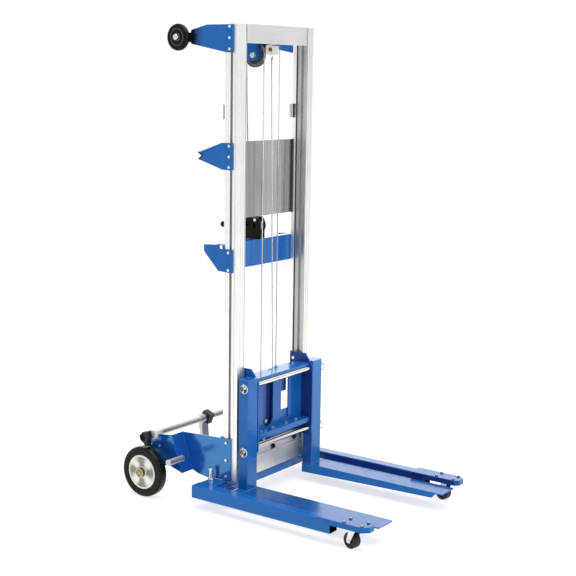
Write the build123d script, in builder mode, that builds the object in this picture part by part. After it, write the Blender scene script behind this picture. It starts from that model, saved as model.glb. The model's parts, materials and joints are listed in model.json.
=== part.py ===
from build123d import *
import os
from math import sqrt

os.makedirs("parts", exist_ok=True)

# ---------------------------------------------------------------- driving dimensions (mm)
# X across, Y fore and aft with the forks towards -Y, Z up from the floor.
# "right" is the operator's right hand (-X), "left" is +X.
MY = 106.0            # Y of the mast's front plane; all depths below are counted from it

# base
LEG_X, LEG_W, LEG_WALL = 336.0, 50.0, 3.0
LEG_Z = 67.0
LEG_FRONT, LEG_REAR = -515.0, 118.0
CROSS_FRONT, CROSS_REAR = 44.0, 118.0
FRAME_TOP = LEG_Z + LEG_W / 2          # 92

# rear wheels
AXLE_Y, WHEEL_R, WHEEL_W = 360.0, 100.0, 41.5
WHEEL_X = 358.4
AXLE_R, RIM_R = 10.0, 68.0

# casters
CASTER_X, SWIVEL_Y, TRAIL = 331.0, -608.0, 18.0
CASTER_R, CASTER_W = 30.0, 30.0
CASTER_TURN = -12.0                    # the casters stand swivelled by this much

# masts
OUT_X0, OUT_X1 = 192.0, 236.0          # outer column, inside and outside faces
OUT_Y0, OUT_Y1 = 41.0, 68.0
OUT_TOP = 1815.0
IN_X0, IN_X1 = 192.0, 235.0            # inner column
IN_D = 30.0
CHANNEL_X = 206.0                      # floor of the carriage blocks' channel
IN_BOTTOM, IN_TOP = 95.0, 1823.0
PLATE_X0, PLATE_T = 236.0, 5.0         # bolted side plates lie on the outer columns
LIFT = 1200.0                          # stroke of each stage

# forks and carriage
POST_X0, POST_X1 = 183.0, 247.0
POST_Y0, POST_Y1 = -60.0, -16.0
TINE_X0, TINE_X1 = 179.0, 276.0
TINE_TOP, TINE_TIP = 76.0, -667.0
POST_TOP = 506.5
ROD_R, ROD_Y, ROD_Z = 8.8, -46.0, (477.0, 230.0)
SIDE_X0, SIDE_X1 = 177.0, 183.0

# cables and sheaves
CABLE_R = 2.5
UP_X, UP_Y, UP_Z, UP_R = -28.0, 86.0, 1713.0, 42.0      # upper sheave on the outer mast
LO_X, LO_Y, LO_Z, LO_R = 13.5, 44.0, 215.0, 41.5        # lower sheave on the inner mast
TOP_X, TOP_Y, TOP_Z, TOP_R = 38.0, 35.0, 1788.0, 15.0   # carriage cable sheave
DEAD_X, DEAD_Z = 20.0, 1702.0                           # dead end of the hoist cable

# winch
DRUM_X, DRUM_Y, DRUM_Z = 4.0, 98.0, 1060.0
DRUM_CORE, DRUM_LAYER, DRUM_FLANGE = 19.0, 23.5, 33.6
PINION_Y, PINION_Z = 141.8, 1064.0
CRANK_R = 54.0


def yz(points):
    """Depth and height pairs, counted from the mast's front plane."""
    return [(y + MY, z) for y, z in points]


# ================================================================ base frame
with BuildPart() as legs:
    for s in (-1, 1):
        with BuildSketch(Plane.XZ.offset(-(LEG_REAR + MY))):
            with Locations((s * LEG_X, LEG_Z)):
                RectangleRounded(LEG_W, LEG_W, 5)
                RectangleRounded(LEG_W - 2 * LEG_WALL, LEG_W - 2 * LEG_WALL, 2.5, mode=Mode.SUBTRACT)
        extrude(amount=LEG_REAR - LEG_FRONT)
legs.part.label = "legs"
export_step(legs.part, "parts/legs.step")

with BuildPart() as rear_cross_tube:
    depth = CROSS_REAR - CROSS_FRONT
    half = LEG_X - LEG_W / 2
    with BuildSketch(Plane.YZ.offset(-half)):
        with Locations(((CROSS_FRONT + CROSS_REAR) / 2 + MY, LEG_Z)):
            RectangleRounded(depth, LEG_W, 5)
            RectangleRounded(depth - 6, LEG_W - 6, 2.5, mode=Mode.SUBTRACT)
    extrude(amount=2 * half)
    # welded corner plates between the cross tube and the legs
    for s in (-1, 1):
        with BuildSketch(Plane.XY.offset(80)):
            with BuildLine():
                Polyline(
                    (s * half, CROSS_FRONT + 1 + MY), (s * 243, CROSS_FRONT + 1 + MY), (s * 243, 2 + MY),
                    (s * 262, -10 + MY), (s * half, -10 + MY), close=True,
                )
            make_face()
        extrude(amount=7)
rear_cross_tube.part.label = "rear_cross_tube"
export_step(rear_cross_tube.part, "parts/rear_cross_tube.step")

# ---------------------------------------------------------------- caster plates
with BuildPart() as caster_plates:
    for s in (-1, 1):
        x0, x1 = 297.0, 363.0
        front, back = -672.0, -517.0
        outline = [
            (s * x0, back + MY), (s * x0, front + 16 + MY), (s * (x0 + 14), front + MY),
            (s * (x1 - 20), front + MY), (s * x1, front + 24 + MY), (s * x1, back + MY),
        ]
        inside = [
            (s * (x0 + 4), back + MY), (s * (x0 + 4), front + 18 + MY), (s * (x0 + 16), front + 4 + MY),
            (s * (x1 - 22), front + 4 + MY), (s * (x1 - 4), front + 25.5 + MY), (s * (x1 - 4), back + MY),
        ]
        with BuildSketch(Plane.XY.offset(76)):
            with BuildLine():
                Polyline(*outline, close=True)
            make_face()
            with BuildLine():
                Polyline(*inside, close=True)
            make_face(mode=Mode.SUBTRACT)
        extrude(amount=16)
        with BuildSketch(Plane.XY.offset(92)):
            with BuildLine():
                Polyline(*outline, close=True)
            make_face()
            with Locations((s * (x0 + x1) / 2, -490 + MY)):
                Rectangle(x1 - x0, 60)
        extrude(amount=5)
caster_plates.part.label = "caster_plates"
export_step(caster_plates.part, "parts/caster_plates.step")

with BuildPart() as caster_mounts:
    for s in (-1, 1):
        with Locations((s * CASTER_X, SWIVEL_Y + MY, 89.5)):
            Box(48, 78, 5)
        with Locations((s * CASTER_X, SWIVEL_Y + MY, 84.5)):
            Cylinder(17, 5)
        with Locations((s * CASTER_X, SWIVEL_Y + MY, 79.0)):
            Cylinder(6, 18)
        with Locations((s * CASTER_X, SWIVEL_Y + MY, 72.0)):
            Cylinder(9, 4)
caster_mounts.part.label = "caster_mounts"
export_step(caster_mounts.part, "parts/caster_mounts.step")

for side, s in (("right", -1), ("left", 1)):
    wheel_y = SWIVEL_Y + TRAIL + MY
    with BuildPart() as caster_yoke:
        with Locations((s * CASTER_X, SWIVEL_Y + MY, 79.0)):
            Cylinder(24, 5)
        for d in (-1, 1):
            with BuildSketch(Plane.YZ.offset(s * CASTER_X + d * 18.0)):
                with BuildLine():
                    Polyline(
                        (SWIVEL_Y - 14 + MY, 77.5), (SWIVEL_Y + 14 + MY, 77.5),
                        (wheel_y + 10, 34), (wheel_y + 6, 22), (wheel_y - 6, 22), (wheel_y - 10, 30), close=True,
                    )
                make_face()
            extrude(amount=1.5, both=True)
        # riveted wheel pin
        with Locations((s * CASTER_X, wheel_y, CASTER_R)):
            Cylinder(4, 44, rotation=(0, 90, 0))
        with Locations((s * CASTER_X + 21.0, wheel_y, CASTER_R), (s * CASTER_X - 21.0, wheel_y, CASTER_R)):
            Cylinder(6, 3, rotation=(0, 90, 0))
        with Locations((s * CASTER_X, SWIVEL_Y + MY, 79.0)):
            Cylinder(6.06, 9, mode=Mode.SUBTRACT)
    kingpin = Axis((s * CASTER_X, SWIVEL_Y + MY, 0), (0, 0, 1))
    turned_yoke = caster_yoke.part.rotate(kingpin, CASTER_TURN)
    turned_yoke.label = f"caster_yoke_{side}"
    export_step(turned_yoke, f"parts/caster_yoke_{side}.step")

    with BuildPart() as caster_wheel:
        with BuildSketch(Plane.YZ.offset(s * CASTER_X)):
            with Locations((wheel_y, CASTER_R)):
                Circle(CASTER_R)
                Circle(4.06, mode=Mode.SUBTRACT)
        extrude(amount=CASTER_W / 2, both=True)
        rims = caster_wheel.edges().filter_by(GeomType.CIRCLE).filter_by(lambda e: e.radius > 20)
        fillet(rims, radius=4)
        # dished hub on both faces
        for d in (-1, 1):
            with BuildSketch(Plane.YZ.offset(s * CASTER_X + d * CASTER_W / 2)):
                with Locations((wheel_y, CASTER_R)):
                    Circle(19)
                    Circle(9, mode=Mode.SUBTRACT)
            extrude(amount=-d * 3, mode=Mode.SUBTRACT)
    turned_wheel = caster_wheel.part.rotate(kingpin, CASTER_TURN)
    turned_wheel.label = f"caster_wheel_{side}"
    export_step(turned_wheel, f"parts/caster_wheel_{side}.step")

# ---------------------------------------------------------------- wheel brackets, axles and stop bars
BRAKE_Y, BRAKE_Z, BRAKE_R = 360.0, 237.0, 12.5
STEP_X0, STEP_X1 = 299.5, 304.5        # outer panel of the joggled bracket
front_panel = [(26, 94), (26, 262), (268, 250), (214, 106), (185, 95), (137, 88), (120, 94)]
step_web = [(268, 250), (214, 106), (218.7, 104.2), (272.7, 248.2)]
outer_panel = [
    (268, 250), (336, 241), (342, 221), (378, 221), (392, 190), (398, 150), (397, 100), (384, 74), (360, 66),
    (336, 74), (322, 100), (293, 128), (214, 106),
]
with BuildPart() as wheel_brackets:
    # plate on the mast, stepped outwards to reach the wheel
    for s in (-1, 1):
        for x0, x1, outline in (
            (PLATE_X0, PLATE_X0 + PLATE_T, front_panel), (PLATE_X0, STEP_X1, step_web), (STEP_X0, STEP_X1, outer_panel),
        ):
            with BuildSketch(Plane.YZ.offset(s * (x0 + x1) / 2)):
                with BuildLine():
                    Polyline(*yz(outline), close=True)
                make_face()
                if outline is outer_panel:
                    with Locations((AXLE_Y + MY, WHEEL_R)):
                        Circle(AXLE_R + 0.1, mode=Mode.SUBTRACT)
            extrude(amount=(x1 - x0) / 2, both=True)
        # small lug on the top edge
        with Locations((s * (PLATE_X0 + PLATE_T / 2), 70 + MY, 262)):
            Box(5, 10, 9)
wheel_brackets.part.label = "wheel_brackets"
export_step(wheel_brackets.part, "parts/wheel_brackets.step")

with BuildPart() as rear_axles:
    for s in (-1, 1):
        at = lambda x: Location((s * x, AXLE_Y + MY, WHEEL_R))
        with Locations(at(336.25)):
            Cylinder(AXLE_R, 93.5, rotation=(0, 90, 0))
        with Locations(at(STEP_X0 - 5)):
            Cylinder(16, 10, rotation=(0, 90, 0))
        with Locations(at(319.75)):
            Cylinder(19, 30.5, rotation=(0, 90, 0))
rear_axles.part.label = "rear_axles"
export_step(rear_axles.part, "parts/rear_axles.step")

with BuildPart() as hub_caps:
    for s in (-1, 1):
        with BuildSketch(Plane.YZ.offset(s * 383)):
            with Locations((AXLE_Y + MY, WHEEL_R)):
                Circle(20)
        extrude(amount=s * 9)
    fillet(hub_caps.faces().sort_by(Axis.X)[0].edges(), radius=3)
    fillet(hub_caps.faces().sort_by(Axis.X)[-1].edges(), radius=3)
    for s in (-1, 1):
        # two turned rings round a raised button
        with BuildSketch(Plane.YZ.offset(s * 392)):
            with Locations((AXLE_Y + MY, WHEEL_R)):
                Circle(14.5)
                Circle(11.5, mode=Mode.SUBTRACT)
                Circle(8.5)
                Circle(5, mode=Mode.SUBTRACT)
        extrude(amount=-s * 2, mode=Mode.SUBTRACT)
hub_caps.part.label = "hub_caps"
export_step(hub_caps.part, "parts/hub_caps.step")

with BuildPart() as stop_bars:
    # round bars laid against the stepped web, in front of the tyres
    for s in (-1, 1):
        with Locations((s * 335.0, 222.3 + MY, 164)):
            Cylinder(12.5, 86, rotation=(0, 90, 0))
stop_bars.part.label = "stop_bars"
export_step(stop_bars.part, "parts/stop_bars.step")

# half profiles of rim and tyre: distance from the wheel's middle plane, radius
rim_half = [
    (23, AXLE_R + 0.06), (23, 21.5), (21.5, 24), (18, 28), (17, 32), (17, 55), (17.4, 57.5), (19, 59.5), (19, 65),
    (18.5, 66), (18.5, RIM_R),
]
for side, s in (("right", -1), ("left", 1)):
    # turned rim, dished on both faces
    with BuildPart() as rear_rim:
        with BuildSketch(Plane.XZ.offset(-(AXLE_Y + MY))):
            with BuildLine():
                Polyline(
                    *[(s * WHEEL_X + d, WHEEL_R + r) for d, r in rim_half],
                    *[(s * WHEEL_X - d, WHEEL_R + r) for d, r in reversed(rim_half)], close=True,
                )
            make_face()
        revolve(axis=Axis((0, AXLE_Y + MY, WHEEL_R), (1, 0, 0)))
    rear_rim.part.label = f"rear_rim_{side}"
    export_step(rear_rim.part, f"parts/rear_rim_{side}.step")

    with BuildPart() as rear_tyre:
        half = WHEEL_W / 2
        at = lambda d, r: (s * WHEEL_X + d, WHEEL_R + r)
        with BuildSketch(Plane.XZ.offset(-(AXLE_Y + MY))):
            with BuildLine():
                Line(at(-18.5, RIM_R + 0.03), at(18.5, RIM_R + 0.03))
                Polyline(
                    at(18.5, RIM_R + 0.03), at(19.4, 70), at(19.4, 73), at(half, 74.5), at(half, 78.5), at(half - 0.9, 79.2),
                    at(half - 0.9, 80.8), at(half, 81.5), at(half, 88),
                )
                ThreePointArc(at(half, 88), at(17.2, 97), at(9, WHEEL_R))
                Line(at(9, WHEEL_R), at(-9, WHEEL_R))
                ThreePointArc(at(-9, WHEEL_R), at(-17.2, 97), at(-half, 88))
                Polyline(
                    at(-half, 88), at(-half, 81.5), at(-half + 0.9, 80.8), at(-half + 0.9, 79.2), at(-half, 78.5),
                    at(-half, 74.5), at(-19.4, 73), at(-19.4, 70), at(-18.5, RIM_R + 0.03),
                )
            make_face()
        revolve(axis=Axis((0, AXLE_Y + MY, WHEEL_R), (1, 0, 0)))
    rear_tyre.part.label = f"rear_tyre_{side}"
    export_step(rear_tyre.part, f"parts/rear_tyre_{side}.step")

# ---------------------------------------------------------------- parking brake on its cross shaft
with BuildPart() as brake_shaft:
    with Locations((0, BRAKE_Y + MY, BRAKE_Z)):
        Cylinder(BRAKE_R, 728, rotation=(0, 90, 0))
brake_shaft.part.label = "brake_shaft"
export_step(brake_shaft.part, "parts/brake_shaft.step")

shoe = [(20, 5), (4, 22), (-19, 26), (-25, 9), (-20, -30), (-10, -35), (-3, -22), (13, -13)]
stop_block = [(24, 0), (6, 30), (-30, 15), (-14, -26.5)]
with BuildPart() as brake_blocks:
    for x0, x1, outline in ((-368, -342, shoe), (8, 38, stop_block), (342, 368, shoe)):
        with BuildSketch(Plane.YZ.offset(x0)):
            with BuildLine():
                Polyline(*[(BRAKE_Y + MY + y, BRAKE_Z + z) for y, z in outline], close=True)
            make_face()
            with Locations((BRAKE_Y + MY, BRAKE_Z)):
                Circle(BRAKE_R + 0.03, mode=Mode.SUBTRACT)
        extrude(amount=x1 - x0)
brake_blocks.part.label = "brake_blocks"
export_step(brake_blocks.part, "parts/brake_blocks.step")

with BuildPart() as brake_bearings:
    # nylon blocks on the rear corners of the wheel brackets
    for s in (-1, 1):
        with BuildSketch(Plane.YZ.offset(s * 294.5)):
            with Locations((BRAKE_Y + MY, 238.5)):
                RectangleRounded(34, 35, 8)
            with Locations((BRAKE_Y + MY, BRAKE_Z)):
                Circle(BRAKE_R + 0.06, mode=Mode.SUBTRACT)
        extrude(amount=22.5, both=True)
brake_bearings.part.label = "brake_bearings"
export_step(brake_bearings.part, "parts/brake_bearings.step")

with BuildPart() as brake_pedal:
    # hub and strap that hang from the shaft and end in a foot tread
    with BuildSketch(Plane.YZ.offset(-16)):
        with Locations((BRAKE_Y + MY, BRAKE_Z)):
            Circle(17)
        with Locations((BRAKE_Y + MY, BRAKE_Z - 17)):
            Rectangle(18, 24)
        with Locations((BRAKE_Y + MY, BRAKE_Z)):
            Circle(BRAKE_R + 0.03, mode=Mode.SUBTRACT)
    extrude(amount=23.5)
    pedal = [(-9, -27), (9, -27), (-8, -122), (48, -122), (48, -129), (-17, -129)]
    with BuildSketch(Plane.YZ.offset(-18)):
        with BuildLine():
            Polyline(*[(BRAKE_Y + MY + y, BRAKE_Z + z) for y, z in pedal], close=True)
        make_face()
    extrude(amount=40)
brake_pedal.part.label = "brake_pedal"
export_step(brake_pedal.part, "parts/brake_pedal.step")

# ================================================================ outer mast
with BuildPart() as outer_columns:
    for s in (-1, 1):
        xm = s * (OUT_X0 + OUT_X1) / 2
        ym = (OUT_Y0 + OUT_Y1) / 2 + MY
        with BuildSketch(Plane.XY.offset(FRAME_TOP)):
            with Locations((xm, ym)):
                RectangleRounded(OUT_X1 - OUT_X0, OUT_Y1 - OUT_Y0, 2)
                Rectangle(OUT_X1 - OUT_X0 - 6, OUT_Y1 - OUT_Y0 - 6, mode=Mode.SUBTRACT)
            # guide for the inner column's tongue, open towards the middle
            with Locations((s * 206.0, 44.0 + MY)):
                Rectangle(28.2, 12, mode=Mode.SUBTRACT)
            # shallow lines along the outer face
            with Locations((s * (OUT_X1 - 0.4), 50 + MY), (s * (OUT_X1 - 0.4), 59 + MY)):
                Rectangle(1.2, 1.4, mode=Mode.SUBTRACT)
        extrude(amount=OUT_TOP - FRAME_TOP)
outer_columns.part.label = "outer_columns"
export_step(outer_columns.part, "parts/outer_columns.step")

BEAM_Y0, BEAM_Y1, BEAM_Z0, BEAM_Z1 = 56.0, 68.0, 1764.0, 1812.0
with BuildPart() as outer_top_beam:
    with BuildSketch(Plane.YZ.offset(-OUT_X0)):
        with Locations(((BEAM_Y0 + BEAM_Y1) / 2 + MY, (BEAM_Z0 + BEAM_Z1) / 2)):
            Rectangle(BEAM_Y1 - BEAM_Y0, BEAM_Z1 - BEAM_Z0)
            Rectangle(BEAM_Y1 - BEAM_Y0 - 6, BEAM_Z1 - BEAM_Z0 - 6, mode=Mode.SUBTRACT)
    extrude(amount=2 * OUT_X0)
    # lug that holds the end of the carriage cable
    with Locations((TOP_X, 51 + MY, 1760)):
        Box(12, 10, 12)
outer_top_beam.part.label = "outer_top_beam"
export_step(outer_top_beam.part, "parts/outer_top_beam.step")


top_outline = [(26, 1719), (26, 1820), (150, 1820), (226, 1801), (226, 1750), (64, 1720)]
with BuildPart() as top_brackets:
    for s in (-1, 1):
        with BuildSketch(Plane.YZ.offset(s * (PLATE_X0 + PLATE_T / 2))):
            with BuildLine():
                Polyline(*yz(top_outline), close=True)
            make_face()
        extrude(amount=PLATE_T / 2, both=True)
top_brackets.part.label = "top_brackets"
export_step(top_brackets.part, "parts/top_brackets.step")

LOAD_Y, LOAD_Z, LOAD_R, LOAD_X = 271.0, 1774.0, 50.0, 259.5
with BuildPart() as load_wheel_arms:
    for s in (-1, 1):
        with BuildSketch(Plane.YZ.offset(s * (PLATE_X0 - 2))):
            with Locations((238 + MY, LOAD_Z)):
                SlotOverall(104, 36)
        extrude(amount=2, both=True)
        # shouldered wheel bolt
        with Locations((s * 241.5, LOAD_Y + MY, LOAD_Z)):
            Cylinder(12, 11, rotation=(0, 90, 0))
        with Locations((s * 257.0, LOAD_Y + MY, LOAD_Z)):
            Cylinder(6, 42, rotation=(0, 90, 0))
        with Locations((s * 276.0, LOAD_Y + MY, LOAD_Z)):
            Cylinder(11, 8, rotation=(0, 90, 0))
    fillet(load_wheel_arms.faces().sort_by(Axis.X)[0].edges(), radius=3)
    fillet(load_wheel_arms.faces().sort_by(Axis.X)[-1].edges(), radius=3)
load_wheel_arms.part.label = "load_wheel_arms"
export_step(load_wheel_arms.part, "parts/load_wheel_arms.step")

for side, s in (("right", -1), ("left", 1)):
    with BuildPart() as load_wheel:
        with BuildSketch(Plane.YZ.offset(s * LOAD_X)):
            with Locations((LOAD_Y + MY, LOAD_Z)):
                Circle(LOAD_R)
                Circle(6.06, mode=Mode.SUBTRACT)
        extrude(amount=12, both=True)
        rims = load_wheel.edges().filter_by(GeomType.CIRCLE).filter_by(lambda e: e.radius > 30)
        fillet(rims, radius=10)
        # stepped face: groove round the tread, dished web, hub
        for r0, r1, depth in ((35.5, 32, 4.0), (30, 15, 3.0)):
            with BuildSketch(Plane.YZ.offset(s * (LOAD_X + 12))):
                with Locations((LOAD_Y + MY, LOAD_Z)):
                    Circle(r0)
                    Circle(r1, mode=Mode.SUBTRACT)
            extrude(amount=-s * depth, mode=Mode.SUBTRACT)
    load_wheel.part.label = f"load_wheel_{side}"
    export_step(load_wheel.part, f"parts/load_wheel_{side}.step")

mid_outline = [(27, 1290), (27, 1390), (77, 1390), (193, 1349), (169, 1339), (189, 1324), (74, 1290)]
with BuildPart() as mid_brackets:
    for s in (-1, 1):
        with BuildSketch(Plane.YZ.offset(s * (PLATE_X0 + PLATE_T / 2))):
            with BuildLine():
                Polyline(*yz(mid_outline), close=True)
            make_face()
        extrude(amount=PLATE_T / 2, both=True)
mid_brackets.part.label = "mid_brackets"
export_step(mid_brackets.part, "parts/mid_brackets.step")

winch_outline = [(24, 906), (24, 993), (63, 994), (66, 1010), (160, 1004), (160, 978), (90, 908)]
with BuildPart() as winch_brackets:
    for s in (-1, 1):
        with BuildSketch(Plane.YZ.offset(s * (PLATE_X0 + PLATE_T / 2))):
            with BuildLine():
                Polyline(*yz(winch_outline), close=True)
            make_face()
            with Locations((78 + MY, 1000)):
                RectangleRounded(17, 13, 3, mode=Mode.SUBTRACT)
        extrude(amount=PLATE_T / 2, both=True)
winch_brackets.part.label = "winch_brackets"
export_step(winch_brackets.part, "parts/winch_brackets.step")

with BuildPart() as winch_beam:
    # folded front plate between the side brackets, with a shelf for the winch
    with Locations((0, 72.5 + MY, 959)):
        Box(2 * PLATE_X0, 5, 102)
    with Locations((5, 116 + MY, 1007)):
        Box(70, 84, 6)
    with Locations((0, 87 + MY, 1008.5)):
        Box(2 * PLATE_X0, 26, 3)
    with Locations((0, 83 + MY, 910)):
        Box(2 * PLATE_X0, 16, 4)
    for x in (-26, 36):
        with BuildSketch(Plane.YZ.offset(x)):
            with BuildLine():
                Polyline(*yz([(74, 1005), (150, 1005), (84, 911), (74, 911)]), close=True)
            make_face()
        extrude(amount=2, both=True)
winch_beam.part.label = "winch_beam"
export_step(winch_beam.part, "parts/winch_beam.step")

with BuildPart() as rear_plate:
    with Locations((0, 69.5 + MY, 1245.5)):
        Box(456, 3, 291)
rear_plate.part.label = "rear_plate"
export_step(rear_plate.part, "parts/rear_plate.step")

with BuildPart() as stop_pads:
    # rubber: short pads on the columns, long strips beside the rear plate
    for s in (-1, 1):
        with Locations((s * 209.0, 72 + MY, 1503)):
            Box(50, 8, 54)
        with Locations((s * 186.5, 59.5 + MY, 1503)):
            Box(11, 7, 54)
        with Locations((s * 189.5, 63.5 + MY, 1245.5)):
            Box(5, 9, 291)
stop_pads.part.label = "stop_pads"
export_step(stop_pads.part, "parts/stop_pads.step")

# ================================================================ winch
with BuildPart() as winch_frame:
    near = [(58, 1010), (58, 1080), (70, 1094), (128, 1094), (154, 1078), (158, 1010)]
    far = [(76, 1010), (76, 1080), (86, 1094), (128, 1094), (154, 1078), (158, 1010)]
    for x, outline in ((-22, near), (26, far)):
        with BuildSketch(Plane.YZ.offset(x)):
            with BuildLine():
                Polyline(*yz(outline), close=True)
            make_face()
            with Locations((DRUM_Y + MY, DRUM_Z)):
                Circle(7.06, mode=Mode.SUBTRACT)
            with Locations((PINION_Y + MY, PINION_Z)):
                Circle(5.06, mode=Mode.SUBTRACT)
        extrude(amount=4)
    with Locations((4, 117 + MY, 1012)):
        Box(48, 80, 4)
winch_frame.part.label = "winch_frame"
export_step(winch_frame.part, "parts/winch_frame.step")

with BuildPart() as winch_drum:
    at = lambda x: Location((x, DRUM_Y + MY, DRUM_Z))
    with Locations(at(4)):
        Cylinder(DRUM_CORE, 40, rotation=(0, 90, 0))
    with Locations(at(-14.5)):
        Cylinder(DRUM_FLANGE - 1, 3, rotation=(0, 90, 0))
    # gear wheel on the left flange
    with BuildSketch(Plane.YZ.offset(16)):
        with Locations((DRUM_Y + MY, DRUM_Z)):
            Circle(DRUM_FLANGE)
            with PolarLocations(DRUM_FLANGE, 34):
                Rectangle(3.0, 3.1, mode=Mode.SUBTRACT)
    extrude(amount=7)
    with Locations(at(4)):
        Cylinder(7, 62, rotation=(0, 90, 0))
    with Locations(at(-26.5), at(34.5)):
        Cylinder(10, 5, rotation=(0, 90, 0))
winch_drum.part.label = "winch_drum"
export_step(winch_drum.part, "parts/winch_drum.step")

with BuildPart() as drum_cable:
    # wound layer of cable, scalloped turn by turn
    turns = 5
    width = 28.0
    pitch = width / turns
    x0 = DRUM_X - 16.5
    with BuildSketch(Plane.XZ.offset(-(DRUM_Y + MY))):
        with BuildLine():
            pts = [(x0, DRUM_Z + DRUM_CORE + 0.03)]
            for i in range(turns):
                a = x0 + i * pitch
                pts += [
                    (a, DRUM_Z + DRUM_LAYER - 1.6), (a + pitch * 0.2, DRUM_Z + DRUM_LAYER - 0.4),
                    (a + pitch * 0.5, DRUM_Z + DRUM_LAYER), (a + pitch * 0.8, DRUM_Z + DRUM_LAYER - 0.4),
                ]
            pts += [(x0 + width, DRUM_Z + DRUM_LAYER - 1.6), (x0 + width, DRUM_Z + DRUM_CORE + 0.03)]
            Polyline(*pts, close=True)
        make_face()
    revolve(axis=Axis((0, DRUM_Y + MY, DRUM_Z), (1, 0, 0)))
drum_cable.part.label = "drum_cable"
export_step(drum_cable.part, "parts/drum_cable.step")

with BuildPart() as crank:
    at = lambda x: Location((x, PINION_Y + MY, PINION_Z))
    with Locations(at(-4)):
        Cylinder(5, 74, rotation=(0, 90, 0))
    with BuildSketch(Plane.YZ.offset(15)):
        with Locations((PINION_Y + MY, PINION_Z)):
            Circle(9.6)
            with PolarLocations(9.6, 10):
                Rectangle(3.0, 2.9, mode=Mode.SUBTRACT)
    extrude(amount=9)
    # arm and grip pin
    with BuildSketch(Plane.YZ.offset(-41)):
        with Locations((PINION_Y + CRANK_R / 2 + MY, PINION_Z)):
            SlotCenterToCenter(CRANK_R, 22)
    extrude(amount=8)
    with Locations((-64.5, PINION_Y + CRANK_R + MY, PINION_Z)):
        Cylinder(4, 47, rotation=(0, 90, 0))
    with Locations((-86.5, PINION_Y + CRANK_R + MY, PINION_Z)):
        Cylinder(7, 3, rotation=(0, 90, 0))
crank.part.label = "crank"
export_step(crank.part, "parts/crank.step")

with BuildPart() as crank_grip:
    with BuildSketch(Plane.YZ.offset(-84.5)):
        with Locations((PINION_Y + CRANK_R + MY, PINION_Z)):
            Circle(11.5)
            Circle(4.06, mode=Mode.SUBTRACT)
    extrude(amount=42.5)
    fillet(crank_grip.edges().filter_by(GeomType.CIRCLE).filter_by(lambda e: e.radius > 9), radius=3)
crank_grip.part.label = "crank_grip"
export_step(crank_grip.part, "parts/crank_grip.step")

# ================================================================ sheaves and cables
with BuildPart() as upper_sheave_bracket:
    cheek = [(68, 1812), (116, 1812), (116, 1709), (104, 1693), (64, 1693), (48, 1707), (48, 1764), (68, 1764)]
    for x in (-40, -16):
        with BuildSketch(Plane.YZ.offset(x)):
            with BuildLine():
                Polyline(*yz(cheek), close=True)
            make_face()
        extrude(amount=2, both=True)
    with Locations((UP_X, UP_Y + MY, UP_Z)):
        Cylinder(6, 36, rotation=(0, 90, 0))
    with Locations((UP_X - 17.5, UP_Y + MY, UP_Z), (UP_X + 17.5, UP_Y + MY, UP_Z)):
        Cylinder(10, 7, rotation=(0, 90, 0))
upper_sheave_bracket.part.label = "upper_sheave_bracket"
export_step(upper_sheave_bracket.part, "parts/upper_sheave_bracket.step")

with BuildPart() as upper_sheave:
    with BuildSketch(Plane.YZ.offset(UP_X)):
        with Locations((UP_Y + MY, UP_Z)):
            Circle(UP_R + 4)
            Circle(6.06, mode=Mode.SUBTRACT)
    extrude(amount=6, both=True)
    with BuildSketch(Plane.YZ.offset(UP_X)):
        with Locations((UP_Y + MY, UP_Z)):
            Circle(UP_R + 5)
            Circle(UP_R - 3, mode=Mode.SUBTRACT)
    extrude(amount=3.8, both=True, mode=Mode.SUBTRACT)
upper_sheave.part.label = "upper_sheave"
export_step(upper_sheave.part, "parts/upper_sheave.step")

with BuildPart() as lower_sheave:
    with BuildSketch(Plane.XZ.offset(-(LO_Y + MY))):
        with Locations((LO_X, LO_Z)):
            Circle(LO_R + 4)
            Circle(7.06, mode=Mode.SUBTRACT)
    extrude(amount=6, both=True)
    with BuildSketch(Plane.XZ.offset(-(LO_Y + MY))):
        with Locations((LO_X, LO_Z)):
            Circle(LO_R + 5)
            Circle(LO_R - 3, mode=Mode.SUBTRACT)
    extrude(amount=3.1, both=True, mode=Mode.SUBTRACT)
lower_sheave.part.label = "lower_sheave"
export_step(lower_sheave.part, "parts/lower_sheave.step")

with BuildPart() as top_sheave:
    with BuildSketch(Plane.YZ.offset(TOP_X)):
        with Locations((TOP_Y + MY, TOP_Z)):
            Circle(TOP_R + 3)
            Circle(4.06, mode=Mode.SUBTRACT)
    extrude(amount=5, both=True)
    with BuildSketch(Plane.YZ.offset(TOP_X)):
        with Locations((TOP_Y + MY, TOP_Z)):
            Circle(TOP_R + 4)
            Circle(TOP_R - 3, mode=Mode.SUBTRACT)
    extrude(amount=3.0, both=True, mode=Mode.SUBTRACT)
top_sheave.part.label = "top_sheave"
export_step(top_sheave.part, "parts/top_sheave.step")

with BuildPart() as cable_anchor:
    # eye plate under the top beam, with the thimble of the hoist cable's dead end
    with Locations((19.5, 43 + MY, 1733)):
        Box(79, 4, 34)
    with Locations((6, 43 + MY, 1765)):
        Box(28, 4, 30)
    with Locations((6, 50.5 + MY, 1770)):
        Box(28, 11, 20)
    with Locations((5, 39.5 + MY, 1735)):
        Cylinder(8, 5, rotation=(90, 0, 0))
    with Locations((DEAD_X, LO_Y + MY, DEAD_Z + 13)):
        Torus(9, 2.5, rotation=(90, 0, 0))
    with Locations((DEAD_X, LO_Y + MY, DEAD_Z + 1.0)):
        Cylinder(4.5, 10)
cable_anchor.part.label = "cable_anchor"
export_step(cable_anchor.part, "parts/cable_anchor.step")

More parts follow.
